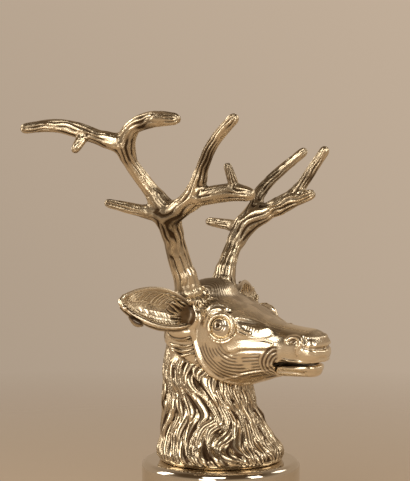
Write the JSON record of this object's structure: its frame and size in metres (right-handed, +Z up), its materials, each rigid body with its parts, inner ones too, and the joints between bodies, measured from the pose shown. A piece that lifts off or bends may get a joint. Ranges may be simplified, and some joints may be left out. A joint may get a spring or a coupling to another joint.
{
  "type": "stirrup cup",
  "caption": "Silver stirrup cup: a plain beaker standing mouth down, with a cast stag's head, chased coat, leaf-shaped ears and branching antlers on its closed end.",
  "frame": {"origin": "centre of the cup's mouth, on the plane that the cup stands on", "axes": "+Z up along the cup's axis, from the mouth it stands on towards the closed end; the stag looks along -Y and its left side is +X"},
  "size_m": [0.1069, 0.0977, 0.1795],
  "materials": {
    "polished_silver": "mirror-polished silver",
    "chased_silver": "cast and chased silver, dark in the grooves",
    "antler_silver": "cast silver with a bark-like grain",
    "fixing_steel": "turned steel",
    "seal_leather": "plain leather"
  },
  "bodies": {
    "root": {"cup_body": "polished_silver", "lip_wire": "polished_silver", "sealing_washer": "seal_leather", "fixing_washer": "fixing_steel", "fixing_screw": "fixing_steel", "neck_base_plate": "chased_silver", "neck_shell": "chased_silver", "head_shell": "chased_silver", "lower_jaw": "chased_silver", "eye_left": "polished_silver", "eye_right": "polished_silver", "ear_left": "chased_silver", "ear_right": "chased_silver", "antler_left": "antler_silver", "antler_right": "antler_silver"}
  },
  "joints": []
}
